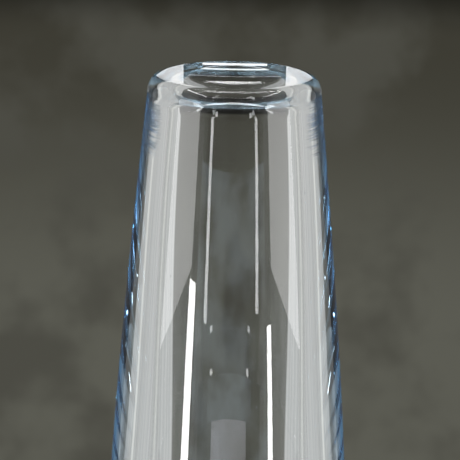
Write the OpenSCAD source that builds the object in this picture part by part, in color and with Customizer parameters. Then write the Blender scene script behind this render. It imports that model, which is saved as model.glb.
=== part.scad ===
// Heavy clear glass vase: one piece of thick blown glass, round in section.
// It stands on its flat base, narrow at the foot, and widens steadily to an open mouth.
// The cavity has a flat bottom with a rounded corner, over a slab thinner than the wall.
// Its side leans less than the outside, so the wall grows thicker on its way up to the lip.
// The whole solid is one closed outline turned about the vertical axis.

/* [Outside] */
// Height from the resting face to the top of the lip
vase_h = 280; // [230:1:340]
// Outside diameter of the base, just above its rounded edge
base_d = 84; // [76:1:108]
// Largest outside diameter, at the lip
mouth_d = 142; // [124:1:190]
// How much steeper the side leans at the base than the straight line to the lip, in degrees
side_bow = 1.5; // [0:0.25:3]
// Radius of the rounded edge between the base and the side
base_edge_r = 7.5; // [2:0.5:10]

/* [Polished base] */
// Diameter of the shallow hollow ground into the middle of the base
hollow_d = 46; // [20:1:56]
// Depth of that hollow at its middle
hollow_depth = 0.8; // [0.3:0.1:2]

/* [Inside] */
// Thickness of the solid glass under the cavity
floor_t = 5; // [3.5:0.5:25]
// Wall thickness at the foot of the cavity's side
foot_wall_t = 11.5; // [8:0.5:18]
// Wall thickness just below the lip, twice the radius of the rounded lip
lip_wall_t = 20; // [6:0.5:22]
// Radius of the rounded corner between the cavity's floor and its side
corner_r = 11; // [6:0.5:20]
// How much more the cavity leans at its foot than the straight line to the lip, in degrees
foot_splay = 2; // [0:0.25:2.5]

/* [Hidden] */
$fn = 128;

// Steps along each stretch of the outline
edge_steps = 10;
side_steps = 24;
lip_steps = 16;
corner_steps = 14;
hollow_steps = 8;
// Where a side curve's handles lie along its length
handle_share = 1 / 3;
// The cavity's extra lean at the lip, as a share of its extra lean at the foot
lip_splay_share = 0.25;

base_r = base_d / 2;
mouth_r = mouth_d / 2;
hollow_r = hollow_d / 2;
lip_r = lip_wall_t / 2;

// Leans from the vertical, in degrees: the side's chord, then its two ends
side_lean = atan((mouth_r - base_r) / vase_h);
base_lean = side_lean + side_bow;
lip_lean = side_lean - side_bow;

// Outer side: from the end of the base's rounded edge to the start of the lip
edge_centre = [base_r - base_edge_r * cos(base_lean), base_edge_r];
side_foot = edge_centre + base_edge_r * [cos(base_lean), -sin(base_lean)];
lip_centre = [mouth_r - lip_r, vase_h - lip_r];
side_top = lip_centre + lip_r * [cos(lip_lean), -sin(lip_lean)];

// Cavity: its rounded corner stands foot_wall_t inside the outer side
corner_z = floor_t + corner_r;
side_at_corner = side_foot[0] + (corner_z - side_foot[1]) * tan(base_lean);
cavity_foot_x = side_at_corner - foot_wall_t;
cavity_lean = atan((lip_centre[0] - lip_r - cavity_foot_x) / (lip_centre[1] - corner_z));
cavity_foot_lean = cavity_lean + foot_splay;
cavity_lip_lean = cavity_lean + foot_splay * lip_splay_share;
corner_centre = [cavity_foot_x - corner_r * cos(cavity_foot_lean), corner_z];
cavity_foot = corner_centre + corner_r * [cos(cavity_foot_lean), -sin(cavity_foot_lean)];
cavity_top = lip_centre + lip_r * [-cos(cavity_lip_lean), sin(cavity_lip_lean)];

// Points of an arc about centre c, from angle a0 to angle a1
function arc(c, r, a0, a1, steps) =
    [for (i = [0 : steps]) let (a = a0 + (a1 - a0) * i / steps) c + r * [cos(a), sin(a)]];

// Points of a smooth curve from p to q that leaves and arrives at the given leans
function curve(p, q, p_lean, q_lean, steps) =
    let (
        reach = norm(q - p) * handle_share,
        way = q[1] > p[1] ? 1 : -1,
        p_handle = p + way * reach * [sin(p_lean), cos(p_lean)],
        q_handle = q - way * reach * [sin(q_lean), cos(q_lean)]
    )
    [for (i = [1 : steps - 1]) let (t = i / steps, s = 1 - t)
        s * s * s * p + 3 * s * s * t * p_handle + 3 * s * t * t * q_handle + t * t * t * q];

// Points of a shallow dish from the axis, where it is depth high, down to nothing at radius r
function dish(r, depth, steps) =
    [for (i = [0 : steps]) let (share = i / steps) [r * share, depth * (1 - share * share)]];

// Right half of the section, from the axis under the base out, up, over the lip and down inside
function section() = concat(
    dish(hollow_r, hollow_depth, hollow_steps),
    arc(edge_centre, base_edge_r, -90, -base_lean, edge_steps),
    curve(side_foot, side_top, base_lean, lip_lean, side_steps),
    arc(lip_centre, lip_r, -lip_lean, 180 - cavity_lip_lean, lip_steps),
    curve(cavity_top, cavity_foot, cavity_lip_lean, cavity_foot_lean, side_steps),
    arc(corner_centre, corner_r, -cavity_foot_lean, -90, corner_steps),
    [[0, floor_t]]
);

module vase_body() {
    color([0.80, 0.90, 0.94, 0.45])
    rotate_extrude()
    polygon(section());
}

vase_body();
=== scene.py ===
"""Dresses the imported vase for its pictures: heavy, clear, faintly ice-blue glass in a light tent.

Everything is in metres, in the part's own frame: the base rests at z = 0 and the mouth is up.
The photograph shows the vase upside down, so its camera hangs below the base with its head down.
"""

import math

import bpy
from mathutils import Matrix, Vector, noise


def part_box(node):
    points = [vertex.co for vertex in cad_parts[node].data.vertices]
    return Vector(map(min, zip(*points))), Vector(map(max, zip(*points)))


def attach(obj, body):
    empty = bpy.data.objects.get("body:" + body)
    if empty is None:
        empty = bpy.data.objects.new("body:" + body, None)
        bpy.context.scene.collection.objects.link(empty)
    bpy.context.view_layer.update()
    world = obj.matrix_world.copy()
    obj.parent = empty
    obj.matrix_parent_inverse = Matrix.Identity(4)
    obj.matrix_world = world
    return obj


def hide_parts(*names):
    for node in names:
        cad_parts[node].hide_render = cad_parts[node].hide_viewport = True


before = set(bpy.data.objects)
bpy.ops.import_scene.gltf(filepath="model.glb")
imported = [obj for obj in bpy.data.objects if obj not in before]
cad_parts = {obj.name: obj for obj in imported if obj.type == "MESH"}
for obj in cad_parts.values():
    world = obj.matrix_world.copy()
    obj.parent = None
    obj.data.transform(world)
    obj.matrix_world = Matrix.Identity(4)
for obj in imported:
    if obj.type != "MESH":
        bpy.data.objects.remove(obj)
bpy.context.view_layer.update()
node_low, node_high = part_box("vase_body")

# Outline of the vase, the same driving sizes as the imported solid
VASE_H = node_high.z
MOUTH_R = min(-node_low.x, node_high.x, -node_low.y, node_high.y)
BASE_R = 0.042
SIDE_BOW = math.radians(1.5)
BASE_EDGE_R = 0.0075
HOLLOW_R = 0.023
HOLLOW_DEPTH = 0.0008
FLOOR_T = 0.005
FOOT_WALL_T = 0.0115
LIP_R = 0.010
CORNER_R = 0.011
FOOT_SPLAY = math.radians(2)
LIP_SPLAY_SHARE = 0.25
HANDLE_SHARE = 1 / 3

# Fineness of the glass mesh. SUPPORT is the gap to the extra ring where a curve meets a flat.
SEGMENTS = 288
DISH_STEPS = 14
EDGE_STEPS = 20
LIP_STEPS = 32
CORNER_STEPS = 28
FINE_STEP = 0.0004
PLAIN_STEP = 0.003
SUPPORT = 0.0003

# Chill ripples: fine level rings on the glass just above the base, as a cold mould leaves them.
# Noise lets them drift up and down and fade in and out on their way round.
RIPPLE_FROM = 0.004
RIPPLE_TO = 0.032
RIPPLE_DEPTH = 0.000003
RIPPLE_PITCH = 0.0021
RIPPLE_RISE = 0.35
RIPPLE_DRIFT = 5
RIPPLE_DRIFT_SCALE = 1.7
RIPPLE_STRENGTH_SCALE = 2.9
RIPPLE_STRENGTH_PLACE = Vector((5, 1, 7))

# Slow unevenness of the blown cavity, which streaks the picture seen through the wall
WAVE_DEPTH = 0.000008
WAVE_LOBES = 9
WAVE_STRETCH = 0.12
WAVE_SCALE = 2

# Seeds: small bubbles shut in the wall. Each is SEED_TURN further round than the one before. It
# is also a fixed step further on through a range of heights, of shares of the way out through the
# wall, and of multiples of SEED_R, and starts again at the low end once it passes the high one.
SEED_COUNT = 26
SEED_R = 0.0003
SEED_STRETCH = 1.2
SEED_RINGS = 6
SEED_SIDES = 10
SEED_TURN = math.pi * (3 - math.sqrt(5)) * 1.37
SEED_HEIGHTS = (0.03, 0.25)
SEED_SHARES = (0.25, 0.75)
SEED_SIZES = (0.6, 1.4)
SEED_STEPS = (0.618034, 0.381966, 0.7548777)

# The glass: how blue it grows through the thickness, and the painted slate and blue shade on its
# grazed edges, which darkens what the glass passes there. A fade runs over the facing weight, which
# is 0 square on and 1 at the very edge.
GLASS_IOR = 1.52
GLASS_TINT = (0.60, 0.86, 1.0)
GLASS_DENSITY = 3.0
CLEAR = (1.0, 1.0, 1.0)
EDGE_PAINTED_SHADE_SLATE = (0.18, 0.25, 0.34)
EDGE_PAINTED_SHADE_SLATE_FADE = (0.54, 0.66)
EDGE_PAINTED_SHADE_BLUE = (0.02, 0.20, 0.60)
EDGE_PAINTED_SHADE_BLUE_FADE = (0.70, 0.86)
OUTER = "outer_side"

# Painted blue shade in fine level stripes on the grazed edge just above the base, standing in for
# the blue fringes that the chill ripples make there, with a bump that follows them: heights between
# which they show, the facing weight over which they come in, how fine they are across and along,
# and their blue
FRINGE_FROM = 0.005
FRINGE_TO = 0.036
FRINGE_FADE = (0.36, 0.62)
FRINGE_SCALE = (25.0, 25.0, 1100.0)
FRINGE_DETAIL = 2.0
FRINGE_LINE = (0.46, 0.58)
FRINGE_PAINTED_SHADE_BLUE = (0.02, 0.13, 0.42)
FRINGE_RELIEF = 0.0006

# The photograph's camera, as seen from the middle of the base
FRAME_PX = 460
FIELD = math.radians(30)
CAMERA_REACH = 0.421
CAMERA_DROP = math.radians(11)
CAMERA_TILT = math.radians(21.2)
CAMERA_ROLL = math.radians(1.0)
AXIS_OFFSET_PX = 2.0
LIFT_PX = 1.5
SENSOR = 36.0
CLIP_START = 0.01

# The tent round the vase, by direction from it. A bearing is turned from straight behind the vase
# and a height is over level, and the blurs are half the width of the border between two cloths.
BACK_HALF = math.radians(20.4)
BACK_BLUR = math.radians(0.6)
FRONT_FROM = math.radians(127)
FRONT_BLUR = math.radians(2.4)
FRONT_COLOUR = (0.010, 0.0095, 0.0095)
CEILING_BELOW = math.radians(-35)
CEILING_BLUR = math.radians(1.2)
CEILING_COLOUR = (0.105, 0.105, 0.11)

# White sides, shaded by upright folds, with one bright slanting fold near the back
SIDE_COLOUR = (0.57, 0.57, 0.55)
SIDE_SHADE = (0.45, 0.455, 0.45)
FOLD_SCALE = 26.0
FOLD_DETAIL = 4.0
FOLD_FADE = (0.38, 0.62)
BRIGHT_FOLD = (0.80, 0.80, 0.76)
BRIGHT_FOLD_FOOT = math.radians(30.5)
BRIGHT_FOLD_SLOPE = 0.29
BRIGHT_FOLD_FADE = (math.radians(4.0), math.radians(0.5))

# Dark mottled cloth behind: nearly black at the foot, and paler upward
BACK_FOOT = (0.010, 0.010, 0.008)
BACK_FOOT_RISE = (math.radians(4.5), math.radians(8.5))
BACK_MIDDLE = (0.047, 0.045, 0.034)
BACK_TOP = (0.104, 0.104, 0.085)
BACK_RISE = (math.radians(8), math.radians(27))
MOTTLE_COLOUR = (0.072, 0.071, 0.058)
MOTTLE_SCALE = 9.0
MOTTLE_DETAIL = 3.0
MOTTLE_FADE = (0.42, 0.66)

# How far off the panels of the tent stand. Their bearings and heights are in degrees.
FAR = 20.0
PANEL_STEPS = 12

# Bright strips beside the camera: name, inner strip's bearings and top, outer strip's bearings
# and foot. The wider panels beyond them slope up and away from the camera.
STRIPS = [
    ("right", (149, 145), 23.8, (142.5, 135.5), 12.0),
    ("left", (-147.5, -143.5), 22.9, (-142.5, -138.0), 15.2),
]
INNER_STRIP_FOOT = -20
INNER_STRIP_GLOW = 90.0
OUTER_STRIP_TOP = 34
OUTER_STRIP_GLOW = 24.0
PANELS = [("right", (137, 105)), ("left", (-137, -105))]
PANEL_FOOT = -20
PANEL_TOPS = (11.0, 19.4)
PANEL_GLOW = 4.0

# Pale cloth in front, which only the other cameras see, so that they look at a plain studio.
# It stands nearer than the panels, at a share of their distance.
STUDIO_BEARINGS = (75, 285)
STUDIO_HEIGHTS = (-12, 80)
STUDIO_COLOUR = (1, 1, 0.98)
STUDIO_GLOW = 0.52
STUDIO_SHARE = 0.3

# Dark corners beside the back cloth, which the grazed edges mirror, and the faint hazy front
# that the middle of the wall mirrors between its bright lines, with a paler patch above it
SHADES = [("right", (16, 48)), ("left", (-16, -48))]
SHADE_HEIGHTS = (-50, 70)
SHADE_GLOW = 0.10
HAZES = [
    ("haze", (143.5, 216.5), (3, 44), (0.02, 0.02, 0.03), (0.9, 1.1, 1.3)),
    ("patch", (151, 209), (44, 75), (1.6, 1.6, 1.7), (2.5, 2.5, 2.8)),
]
HAZE_SCALE = (1.6, 1.6, 13.0)
HAZE_DETAIL = 3.0
HAZE_FADE = (0.35, 0.65)

# Lamps on the ceiling of the tent, which lies below the base here. First the four bars that the
# side of the vase mirrors: how far out they lie, the gap at each corner and half their width.
CEILING_Z = -0.345
BAR_OUT = 0.193
BAR_GAP = 0.029
BAR_HALF_WIDTH = 0.0058
BAR_GLOW = 20.0

# Then the lamps that the base shows: half length, place and half width of the near and the far
# one, and the two ends and half width of each side one
BASE_LAMP_NEAR = (0.38, -0.223, 0.013)
BASE_LAMP_FAR = (0.115, 0.69, 0.07)
BASE_LAMP_SIDE = ((0.42, -0.25), (0.70, -0.13), 0.012)
BASE_LAMP_GLOW = 48.0

# Patches far off that the underside mirrors: wings and a thin line in its flat ring, and a line
# in its hollow. Bearings and heights are in degrees.
WING = ((3.5, 14), (-24, -6))
WING_GLOW = 1.6
MIRROR_LINES = [("ring_line", 2.2, (-10.42, -10.28)), ("hollow_line", 1.7, (-16.2, -15.1))]
MIRROR_GLOW = 2.6

# The floor that the vase stands on, and its light
FLOOR_HALF = 3.0
FLOOR_COLOUR = (0.72, 0.71, 0.69)
OVERHEAD_Z = 1.5
OVERHEAD_SIZE = 1.6
OVERHEAD_POWER = 22

BOUNCES = 32


def arc(centre, radius, start, end, steps):
    """Points of an arc about a centre, from one angle to another."""
    turn = (end - start) / steps
    return [
        centre + radius * Vector((math.cos(start + turn * i), math.sin(start + turn * i)))
        for i in range(steps + 1)
    ]


def side_curve(p, q, p_lean, q_lean):
    """A function of t for the smooth curve from p to q that leaves and arrives at the leans."""
    reach = (q - p).length * HANDLE_SHARE
    way = 1 if q.y > p.y else -1
    p_handle = p + way * reach * Vector((math.sin(p_lean), math.cos(p_lean)))
    q_handle = q - way * reach * Vector((math.sin(q_lean), math.cos(q_lean)))

    def at(t):
        s = 1 - t
        return s * s * s * p + 3 * s * s * t * p_handle + 3 * s * t * t * q_handle + t * t * t * q

    return at


def dish(radius, depth, steps):
    """Points of a shallow dish from the axis, where it is depth high, to nothing at its rim."""
    shares = [i / steps for i in range(steps + 1)]
    return [Vector((radius * share, depth * (1 - share * share))) for share in shares]


def stepped(curve, step_at):
    """Points along a curve, set apart by step_at(height), without its two ends."""
    length = (curve(1) - curve(0)).length
    points = []
    t = 0.0
    while True:
        t += step_at(curve(t).y) / length
        if t >= 1 - SUPPORT / length:
            return points
        points.append(curve(t))


def outer_step(height):
    """Ring spacing on the outside: fine where the ripples are."""
    return FINE_STEP if height < RIPPLE_TO else PLAIN_STEP


def plain_step(height):
    """Ring spacing in the cavity."""
    return PLAIN_STEP


def outline():
    """The section in two parts: from the axis under the base out, up and over the lip, and then
    down inside and in to the axis again."""
    side_lean = math.atan((MOUTH_R - BASE_R) / VASE_H)
    base_lean = side_lean + SIDE_BOW
    lip_lean = side_lean - SIDE_BOW
    edge_centre = Vector((BASE_R - BASE_EDGE_R * math.cos(base_lean), BASE_EDGE_R))
    lip_centre = Vector((MOUTH_R - LIP_R, VASE_H - LIP_R))
    edge = arc(edge_centre, BASE_EDGE_R, -math.pi / 2, -base_lean, EDGE_STEPS)

    corner_z = FLOOR_T + CORNER_R
    side_at_corner = edge[-1].x + (corner_z - edge[-1].y) * math.tan(base_lean)
    cavity_foot_x = side_at_corner - FOOT_WALL_T
    rise = lip_centre.y - corner_z
    cavity_lean = math.atan((lip_centre.x - LIP_R - cavity_foot_x) / rise)
    foot_lean = cavity_lean + FOOT_SPLAY
    inner_lip_lean = cavity_lean + FOOT_SPLAY * LIP_SPLAY_SHARE
    corner_centre = Vector((cavity_foot_x - CORNER_R * math.cos(foot_lean), corner_z))

    hollow = dish(HOLLOW_R, HOLLOW_DEPTH, DISH_STEPS)
    flat = [Vector((HOLLOW_R + SUPPORT, 0)), Vector((edge_centre.x - SUPPORT, 0))]
    lip = arc(lip_centre, LIP_R, -lip_lean, math.pi - inner_lip_lean, LIP_STEPS)
    corner = arc(corner_centre, CORNER_R, -foot_lean, -math.pi / 2, CORNER_STEPS)
    floor = [Vector((corner_centre.x - SUPPORT, FLOOR_T)), Vector((0, FLOOR_T))]
    side = stepped(side_curve(edge[-1], lip[0], base_lean, lip_lean), outer_step)
    cavity = stepped(side_curve(lip[-1], corner[0], inner_lip_lean, foot_lean), plain_step)
    outside = hollow + flat + edge + side + lip
    return outside, cavity + corner + floor


def swell(x, low, high):
    """0 outside low to high, rising smoothly to 1 in the middle of it."""
    if not low < x < high:
        return 0.0
    return math.sin(math.pi * (x - low) / (high - low)) ** 2


def ripple(angle, height):
    """How far a chill ripple lifts the outer surface."""
    turns = height / RIPPLE_PITCH
    place = Vector((math.cos(angle), math.sin(angle), turns * RIPPLE_RISE))
    drift = noise.noise(place * RIPPLE_DRIFT_SCALE)
    strength = noise.noise(place * RIPPLE_STRENGTH_SCALE + RIPPLE_STRENGTH_PLACE)
    wave = math.sin(math.tau * turns + RIPPLE_DRIFT * drift)
    return RIPPLE_DEPTH * (0.5 + 0.5 * strength) * wave * swell(height, RIPPLE_FROM, RIPPLE_TO)


def cavity_wave(angle, height):
    """How far the blown cavity's surface wanders from the round."""
    place = Vector((math.cos(angle), math.sin(angle), 0)) * WAVE_LOBES / math.tau
    place.z = height / WAVE_STRETCH
    return WAVE_DEPTH * noise.noise(place * WAVE_SCALE)


def add_ring(vertices, point, shift):
    """Adds the ring that a point of the outline sweeps and gives its first index and length."""
    first = len(vertices)
    if point.x < SUPPORT:
        vertices.append((0, 0, point.y))
        return first, 1
    for i in range(SEGMENTS):
        angle = math.tau * i / SEGMENTS
        r = point.x + shift(angle, point.y)
        vertices.append((r * math.cos(angle), r * math.sin(angle), point.y))
    return first, SEGMENTS


def bridge(faces, lower, upper):
    """Joins two rings that follow each other along the outline."""
    (a, a_len), (b, b_len) = lower, upper
    for i in range(SEGMENTS):
        j = (i + 1) % SEGMENTS
        if a_len == 1:
            faces.append((a, b + j, b + i))
        elif b_len == 1:
            faces.append((a + i, a + j, b))
        else:
            faces.append((a + i, a + j, b + j, b + i))


def add_seed(vertices, faces, centre, radius):
    """A small upright bubble: a closed shell that faces its own middle, away from the glass."""
    pole = Vector((0, 0, radius * SEED_STRETCH))
    first = len(vertices)
    vertices.append(centre - pole)
    for ring in range(1, SEED_RINGS):
        tilt = math.pi * ring / SEED_RINGS
        out = radius * math.sin(tilt)
        middle = centre - pole * math.cos(tilt)
        for side in range(SEED_SIDES):
            turn = math.tau * side / SEED_SIDES
            vertices.append(middle + Vector((out * math.cos(turn), out * math.sin(turn), 0)))
    vertices.append(centre + pole)
    last = len(vertices) - 1
    top = last - SEED_SIDES
    for side in range(SEED_SIDES):
        after = (side + 1) % SEED_SIDES
        faces.append((first, first + 1 + side, first + 1 + after))
        faces.append((last, top + after, top + side))
        for ring in range(SEED_RINGS - 2):
            low = first + 1 + ring * SEED_SIDES
            high = low + SEED_SIDES
            faces.append((low + side, high + side, high + after, low + after))


def seed_places():
    """Angle, height, share of the way out through the wall, and radius of each seed."""
    places = []
    for i in range(SEED_COUNT):
        height, share, size = [
            low + (high - low) * ((i * step) % 1)
            for (low, high), step in zip((SEED_HEIGHTS, SEED_SHARES, SEED_SIZES), SEED_STEPS)
        ]
        places.append((SEED_TURN * i, height, share, SEED_R * size))
    return places


def radius_at(points, height):
    """The outline's radius at a height, between the two nearest of its points."""
    ordered = sorted(points, key=lambda p: p.y)
    for low, high in zip(ordered, ordered[1:]):
        if low.y <= height <= high.y and high.y > low.y:
            t = (height - low.y) / (high.y - low.y)
            return low.x + t * (high.x - low.x)
    return ordered[-1].x


def make_glass():
    """The vase as one closed mesh: the turned outline with its seeds inside the wall. An attribute
    marks the outer side above the rounded edge, where the grazed edge gets its painted shade."""
    outside, inside = outline()
    vertices, faces = [], []
    rings = [add_ring(vertices, p, ripple) for p in outside]
    outer_count = len(vertices)
    rings += [add_ring(vertices, p, cavity_wave) for p in inside]
    for lower, upper in zip(rings, rings[1:]):
        bridge(faces, lower, upper)
    for angle, height, share, size in seed_places():
        outer = radius_at(outside, height)
        inner = radius_at(inside, height)
        r = inner + (outer - inner) * share
        centre = Vector((r * math.cos(angle), r * math.sin(angle), height))
        add_seed(vertices, faces, centre, size)
    mesh = bpy.data.meshes.new("glass_vase")
    mesh.from_pydata(vertices, [], faces)
    mesh.update()
    mesh.shade_smooth()
    mark = mesh.attributes.new(OUTER, "FLOAT", "POINT")
    for i, vertex in enumerate(mesh.vertices):
        on_side = i < outer_count and vertex.co.z > BASE_EDGE_R
        mark.data[i].value = 1.0 if on_side else 0.0
    thing = bpy.data.objects.new("glass_vase", mesh)
    bpy.context.scene.collection.objects.link(thing)
    return thing


def new_tree(owner):
    """Empties a material's or world's node tree and gives it."""
    owner.use_nodes = True
    owner.node_tree.nodes.clear()
    return owner.node_tree


def calc(tree, operation, *values):
    """A Math node with these numbers or sockets as its inputs. Gives its output."""
    node = tree.nodes.new("ShaderNodeMath")
    node.operation = operation
    for socket, value in zip(node.inputs, values):
        if isinstance(value, (int, float)):
            socket.default_value = value
        else:
            tree.links.new(value, socket)
    return node.outputs["Value"]


def fade(tree, value, low, high):
    """A mask that runs smoothly from 0 where value is at low to 1 where it is at high."""
    node = tree.nodes.new("ShaderNodeMapRange")
    node.interpolation_type = "SMOOTHSTEP"
    node.inputs["From Min"].default_value = low
    node.inputs["From Max"].default_value = high
    tree.links.new(value, node.inputs["Value"])
    return node.outputs["Result"]


def border(tree, value, place, blur):
    """A mask that turns from 0 to 1 at a place, or from 1 to 0 where the blur is negative."""
    return fade(tree, value, place - blur, place + blur)


def blend_colours(tree, mask, first, second):
    """The first colour where the mask is 0 and the second where it is 1."""
    node = tree.nodes.new("ShaderNodeMix")
    node.data_type = "RGBA"
    tree.links.new(mask, node.inputs["Factor"])
    sockets = [s for s in node.inputs if s.type == "RGBA"]
    for socket, colour in zip(sockets, (first, second)):
        if isinstance(colour, tuple):
            socket.default_value = (*colour, 1)
        else:
            tree.links.new(colour, socket)
    return next(s for s in node.outputs if s.type == "RGBA")


def stretched(tree, vector, scale):
    """A place scaled by its own amount along each axis."""
    node = tree.nodes.new("ShaderNodeMapping")
    node.inputs["Scale"].default_value = scale
    tree.links.new(vector, node.inputs["Vector"])
    return node.outputs["Vector"]


def noise_mask(tree, vector, scale, detail, limits):
    """A mask of soft noise, 0 where the noise is under the limits and 1 where it is over them."""
    node = tree.nodes.new("ShaderNodeTexNoise")
    node.inputs["Scale"].default_value = scale
    node.inputs["Detail"].default_value = detail
    tree.links.new(vector, node.inputs["Vector"])
    return fade(tree, node.outputs["Fac"], *limits)


def upright_folds(tree, bearing):
    """A mask of folds in hanging cloth, which change with the bearing alone."""
    node = tree.nodes.new("ShaderNodeTexNoise")
    node.noise_dimensions = "1D"
    node.inputs["Scale"].default_value = FOLD_SCALE
    node.inputs["Detail"].default_value = FOLD_DETAIL
    tree.links.new(bearing, node.inputs["W"])
    return fade(tree, node.outputs["Fac"], *FOLD_FADE)


def fringes(tree, grazed):
    """A mask of fine level stripes on the grazed edge just above the base, for the painted blue
    shade and its bump.
    """
    place = tree.nodes.new("ShaderNodeTexCoord").outputs["Object"]
    axes = tree.nodes.new("ShaderNodeSeparateXYZ")
    tree.links.new(place, axes.inputs["Vector"])
    middle = (FRINGE_FROM + FRINGE_TO) / 2
    start = fade(tree, axes.outputs["Z"], FRINGE_FROM, middle)
    end = fade(tree, axes.outputs["Z"], FRINGE_TO, middle)
    zone = calc(tree, "SQRT", calc(tree, "MINIMUM", start, end))
    edge = fade(tree, grazed, *FRINGE_FADE)
    line = noise_mask(tree, stretched(tree, place, FRINGE_SCALE), 1.0, FRINGE_DETAIL, FRINGE_LINE)
    return calc(tree, "MULTIPLY", calc(tree, "MULTIPLY", zone, edge), line)


def glass_material():
    """Clear glass, bluer the thicker it is, with painted shade at its grazed edges: slate and then
    deep blue, and dark blue stripes just above the base.
    """
    material = bpy.data.materials.new("clear_glass")
    tree = new_tree(material)
    output = tree.nodes.new("ShaderNodeOutputMaterial")
    surface = tree.nodes.new("ShaderNodeBsdfPrincipled")
    surface.inputs["Roughness"].default_value = 0.0
    surface.inputs["IOR"].default_value = GLASS_IOR
    surface.inputs["Transmission Weight"].default_value = 1.0
    tree.links.new(surface.outputs["BSDF"], output.inputs["Surface"])
    depth = tree.nodes.new("ShaderNodeVolumeAbsorption")
    depth.inputs["Color"].default_value = (*GLASS_TINT, 1)
    depth.inputs["Density"].default_value = GLASS_DENSITY
    tree.links.new(depth.outputs["Volume"], output.inputs["Volume"])

    facing = tree.nodes.new("ShaderNodeLayerWeight")
    outer = tree.nodes.new("ShaderNodeAttribute")
    outer.attribute_name = OUTER
    grazed = calc(tree, "MULTIPLY", facing.outputs["Facing"], outer.outputs["Fac"])
    fringe = fringes(tree, grazed)
    # Painted shade: the grazed outer edge turns slate and then deep blue, darkening what the glass
    # passes there.
    colour_with_painted_shade = blend_colours(tree, fade(tree, grazed, *EDGE_PAINTED_SHADE_SLATE_FADE), CLEAR, EDGE_PAINTED_SHADE_SLATE)
    colour_with_painted_shade = blend_colours(tree, fade(tree, grazed, *EDGE_PAINTED_SHADE_BLUE_FADE), colour_with_painted_shade, EDGE_PAINTED_SHADE_BLUE)
    # Painted shade: dark blue level stripes over the grazed edge just above the base.
    colour_with_painted_shade = blend_colours(tree, fringe, colour_with_painted_shade, FRINGE_PAINTED_SHADE_BLUE)
    tree.links.new(colour_with_painted_shade, surface.inputs["Base Color"])
    relief = tree.nodes.new("ShaderNodeBump")
    relief.inputs["Distance"].default_value = FRINGE_RELIEF
    tree.links.new(fringe, relief.inputs["Height"])
    tree.links.new(relief.outputs["Normal"], surface.inputs["Normal"])
    return material


def back_cloth(tree, place, height):
    """Colour of the dark cloth behind the vase."""
    colour = blend_colours(tree, fade(tree, height, *BACK_RISE), BACK_MIDDLE, BACK_TOP)
    mottle = noise_mask(tree, place, MOTTLE_SCALE, MOTTLE_DETAIL, MOTTLE_FADE)
    colour = blend_colours(tree, mottle, colour, MOTTLE_COLOUR)
    return blend_colours(tree, fade(tree, height, *BACK_FOOT_RISE), BACK_FOOT, colour)


def side_cloth(tree, bearing, height):
    """Colour of the white cloth at the sides."""
    colour = blend_colours(tree, upright_folds(tree, bearing), SIDE_SHADE, SIDE_COLOUR)
    middle = calc(tree, "MULTIPLY_ADD", height, BRIGHT_FOLD_SLOPE, BRIGHT_FOLD_FOOT)
    off = calc(tree, "ABSOLUTE", calc(tree, "SUBTRACT", bearing, middle))
    return blend_colours(tree, fade(tree, off, *BRIGHT_FOLD_FADE), colour, BRIGHT_FOLD)


def make_world():
    """The tent: dark cloth behind, white sides, a dark front and a grey ceiling under the base."""
    world = bpy.data.worlds.new("light_tent")
    bpy.context.scene.world = world
    tree = new_tree(world)
    output = tree.nodes.new("ShaderNodeOutputWorld")
    background = tree.nodes.new("ShaderNodeBackground")
    place = tree.nodes.new("ShaderNodeTexCoord").outputs["Generated"]
    axes = tree.nodes.new("ShaderNodeSeparateXYZ")
    tree.links.new(place, axes.inputs["Vector"])
    bearing = calc(tree, "ABSOLUTE", calc(tree, "ARCTAN2", axes.outputs["X"], axes.outputs["Y"]))
    height = calc(tree, "ARCSINE", axes.outputs["Z"])

    sides = border(tree, bearing, BACK_HALF, BACK_BLUR)
    front = border(tree, bearing, FRONT_FROM, FRONT_BLUR)
    ceiling = border(tree, height, CEILING_BELOW, -CEILING_BLUR)
    back = back_cloth(tree, place, height)
    colour = blend_colours(tree, sides, back, side_cloth(tree, bearing, height))
    colour = blend_colours(tree, front, colour, FRONT_COLOUR)
    colour = blend_colours(tree, ceiling, colour, CEILING_COLOUR)
    tree.links.new(colour, background.inputs["Color"])
    tree.links.new(background.outputs["Background"], output.inputs["Surface"])


def glow(name, strength, colour=(1, 1, 1)):
    """A material that only gives out light."""
    material = bpy.data.materials.new(name)
    tree = new_tree(material)
    output = tree.nodes.new("ShaderNodeOutputMaterial")
    emission = tree.nodes.new("ShaderNodeEmission")
    emission.inputs["Color"].default_value = (*colour, 1)
    emission.inputs["Strength"].default_value = strength
    tree.links.new(emission.outputs["Emission"], output.inputs["Surface"])
    return material


def hazy_glow(name, dim, bright):
    """A light that varies softly between two colours over the far panel that gives it out."""
    material = glow(name, 1.0)
    tree = material.node_tree
    place = tree.nodes.new("ShaderNodeTexCoord").outputs["Object"]
    place = stretched(tree, place, [scale / FAR for scale in HAZE_SCALE])
    cloud = noise_mask(tree, place, 1.0, HAZE_DETAIL, HAZE_FADE)
    emission = next(node for node in tree.nodes if node.type == "EMISSION")
    tree.links.new(blend_colours(tree, cloud, dim, bright), emission.inputs["Color"])
    return material


def stage_mesh(name, vertices, faces, material, *rays):
    """A mesh of the set that isn't part of the vase, seen only by the named kinds of ray."""
    mesh = bpy.data.meshes.new(name)
    mesh.from_pydata(vertices, [], faces)
    mesh.materials.append(material)
    thing = bpy.data.objects.new(name, mesh)
    bpy.context.scene.collection.objects.link(thing)
    thing.visible_camera = "camera" in rays
    thing.visible_glossy = "glossy" in rays
    thing.visible_transmission = "transmission" in rays
    thing.visible_diffuse = False
    thing.visible_shadow = False
    thing.visible_volume_scatter = False
    return thing


def stage_quad(name, corners, material, *rays):
    """A flat patch of the set between four corners."""
    return stage_mesh(name, corners, [(0, 1, 2, 3)], material, *rays)


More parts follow.
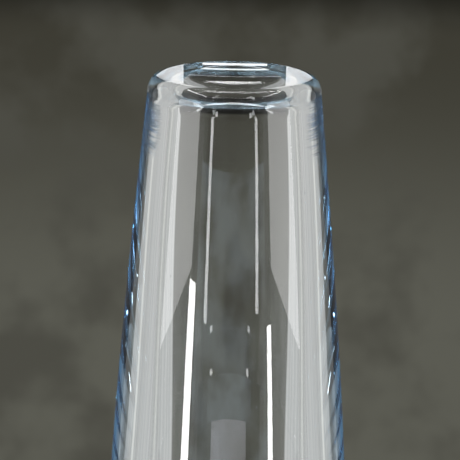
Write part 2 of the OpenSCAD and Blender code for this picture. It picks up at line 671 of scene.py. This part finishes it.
def far_place(bearing, height):
    """The far place at a bearing from straight behind the vase and a height over level."""
    turn, rise = math.radians(bearing), math.radians(height)
    flat = math.cos(rise)
    return FAR * Vector((math.sin(turn) * flat, math.cos(turn) * flat, math.sin(rise)))


def far_panel(name, bearings, foot, tops, material, *rays):
    """A patch of the far tent between two bearings, from a level foot to a sloping top."""
    vertices, faces = [], []
    for i in range(PANEL_STEPS + 1):
        bearing = bearings[0] + (bearings[1] - bearings[0]) * i / PANEL_STEPS
        top = tops[0] + (tops[1] - tops[0]) * i / PANEL_STEPS
        vertices += [far_place(bearing, foot), far_place(bearing, top)]
        if i:
            k = 2 * i
            faces.append((k - 2, k - 1, k + 1, k))
    return stage_mesh(name, vertices, faces, material, *rays)


def far_band(name, bearings, heights, material, *rays):
    """A patch of the far tent between two bearings, with a level foot and a level top."""
    foot, top = heights
    return far_panel(name, bearings, foot, (top, top), material, *rays)


def far_quad(name, bearings, heights, material, *rays):
    """A flat patch far off between two bearings and two heights."""
    (b0, b1), (h0, h1) = bearings, heights
    corners = [far_place(b, h) for b, h in ((b0, h0), (b1, h0), (b1, h1), (b0, h1))]
    stage_quad(name, corners, material, *rays)


def ceiling_lamp(name, start, end, aside, material, *rays):
    """A straight lamp on the ceiling from start to end, that reaches aside to both sides."""
    (x0, y0), (x1, y1), (dx, dy) = start, end, aside
    corners = [
        (x0 - dx, y0 - dy, CEILING_Z),
        (x1 - dx, y1 - dy, CEILING_Z),
        (x1 + dx, y1 + dy, CEILING_Z),
        (x0 + dx, y0 + dy, CEILING_Z),
    ]
    stage_quad(name, corners, material, *rays)


def make_bars():
    """The four bars round the ceiling that the side of the vase mirrors."""
    material = glow("lamp_bar", BAR_GLOW)
    end = BAR_OUT - BAR_GAP
    wide = BAR_HALF_WIDTH
    for name, y in (("bar_near", -BAR_OUT), ("bar_far", BAR_OUT)):
        ceiling_lamp(name, (-end, y), (end, y), (0, wide), material, "glossy")
    for name, x in (("bar_left", -BAR_OUT), ("bar_right", BAR_OUT)):
        ceiling_lamp(name, (x, -end), (x, end), (wide, 0), material, "glossy")


def make_base_lamps():
    """The lamps that the base and the cavity's rounded corner show as bright lines."""
    material = glow("frame_lamp", BASE_LAMP_GLOW)
    for name, (half, y, wide) in (("frame_near", BASE_LAMP_NEAR), ("frame_far", BASE_LAMP_FAR)):
        ceiling_lamp(name, (-half, y), (half, y), (0, wide), material, "transmission")
    (x0, y0), (x1, y1), wide = BASE_LAMP_SIDE
    (b0, b1), heights = WING
    wing_light = glow("wing", WING_GLOW)
    for name, side in (("left", -1), ("right", 1)):
        start, end = (side * x0, y0), (side * x1, y1)
        ceiling_lamp("frame_" + name, start, end, (0, wide), material, "transmission")
        far_quad("wing_" + name, (side * b0, side * b1), heights, wing_light, "glossy")
    line_light = glow("mirror_line", MIRROR_GLOW)
    for name, half, heights in MIRROR_LINES:
        far_quad(name, (-half, half), heights, line_light, "glossy")


def make_panels():
    """The far strips, cloths and haze that the wall mirrors or shows, and the plain studio."""
    inner_light = glow("inner_strip", INNER_STRIP_GLOW)
    outer_light = glow("outer_strip", OUTER_STRIP_GLOW)
    for name, inner, top, outer, foot in STRIPS:
        inner_heights, outer_heights = (INNER_STRIP_FOOT, top), (foot, OUTER_STRIP_TOP)
        far_band("inner_strip_" + name, inner, inner_heights, inner_light, "transmission")
        far_band("outer_strip_" + name, outer, outer_heights, outer_light, "glossy")
    studio_light = glow("studio", STUDIO_GLOW, STUDIO_COLOUR)
    studio = far_band("pale_front", STUDIO_BEARINGS, STUDIO_HEIGHTS, studio_light, "camera")
    studio.scale = (STUDIO_SHARE,) * 3
    panel_light = glow("panel", PANEL_GLOW)
    for name, bearings in PANELS:
        far_panel("panel_" + name, bearings, PANEL_FOOT, PANEL_TOPS, panel_light, "glossy")
    shade = glow("shade", SHADE_GLOW)
    for name, bearings in SHADES:
        far_band("shade_" + name, bearings, SHADE_HEIGHTS, shade, "glossy")
    for name, bearings, heights, dim, bright in HAZES:
        far_band(name, bearings, heights, hazy_glow(name, dim, bright), "glossy")


def make_camera():
    """The photograph's camera: upside down below the base and looking up past it."""
    data = bpy.data.cameras.new("photo_camera")
    data.sensor_width = SENSOR
    data.lens = SENSOR / 2 / math.tan(FIELD / 2)
    data.clip_start = CLIP_START
    data.shift_x = -AXIS_OFFSET_PX / FRAME_PX
    data.shift_y = -LIFT_PX / FRAME_PX
    camera = bpy.data.objects.new("photo_camera", data)
    bpy.context.scene.collection.objects.link(camera)
    back = Vector((0, -math.cos(CAMERA_TILT), -math.sin(CAMERA_TILT)))
    up = Vector((0, math.sin(CAMERA_TILT), -math.cos(CAMERA_TILT)))
    right = up.cross(back)
    turn = Matrix((right, up, back)).transposed()
    turn = turn @ Matrix.Rotation(CAMERA_ROLL, 3, "Z")
    place = CAMERA_REACH * Vector((0, -math.cos(CAMERA_DROP), -math.sin(CAMERA_DROP)))
    camera.matrix_world = Matrix.Translation(place) @ turn.to_4x4()
    bpy.context.scene.camera = camera


def make_floor():
    """A pale floor under the vase. From below, where the photograph's camera hangs, it is clear."""
    material = bpy.data.materials.new("pale_floor")
    tree = new_tree(material)
    output = tree.nodes.new("ShaderNodeOutputMaterial")
    paint = tree.nodes.new("ShaderNodeBsdfDiffuse")
    paint.inputs["Color"].default_value = (*FLOOR_COLOUR, 1)
    clear = tree.nodes.new("ShaderNodeBsdfTransparent")
    side = tree.nodes.new("ShaderNodeNewGeometry")
    mix = tree.nodes.new("ShaderNodeMixShader")
    tree.links.new(side.outputs["Backfacing"], mix.inputs["Fac"])
    tree.links.new(paint.outputs["BSDF"], mix.inputs[1])
    tree.links.new(clear.outputs["BSDF"], mix.inputs[2])
    tree.links.new(mix.outputs["Shader"], output.inputs["Surface"])
    half = FLOOR_HALF
    corners = [(-half, -half, 0), (half, -half, 0), (half, half, 0), (-half, half, 0)]
    stage_quad("pale_floor", corners, material, "camera")


def make_overhead_light():
    """Soft light from above for the floor. The glass doesn't mirror it."""
    lamp = bpy.data.lights.new("overhead", "AREA")
    lamp.shape = "DISK"
    lamp.size = OVERHEAD_SIZE
    lamp.energy = OVERHEAD_POWER
    thing = bpy.data.objects.new("overhead", lamp)
    thing.location = (0, 0, OVERHEAD_Z)
    thing.visible_glossy = False
    thing.visible_transmission = False
    thing.visible_camera = False
    bpy.context.scene.collection.objects.link(thing)


def set_light_paths():
    """Enough bounces for light to cross the thick wall many times, and plain colours."""
    cycles = bpy.context.scene.cycles
    cycles.max_bounces = BOUNCES
    cycles.transmission_bounces = BOUNCES
    cycles.glossy_bounces = BOUNCES
    bpy.context.scene.view_settings.view_transform = "Standard"


make_camera()
make_world()
make_bars()
make_base_lamps()
make_panels()
make_floor()
make_overhead_light()
set_light_paths()
vase = make_glass()
vase.data.materials.append(glass_material())
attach(vase, "root")
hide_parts("vase_body")
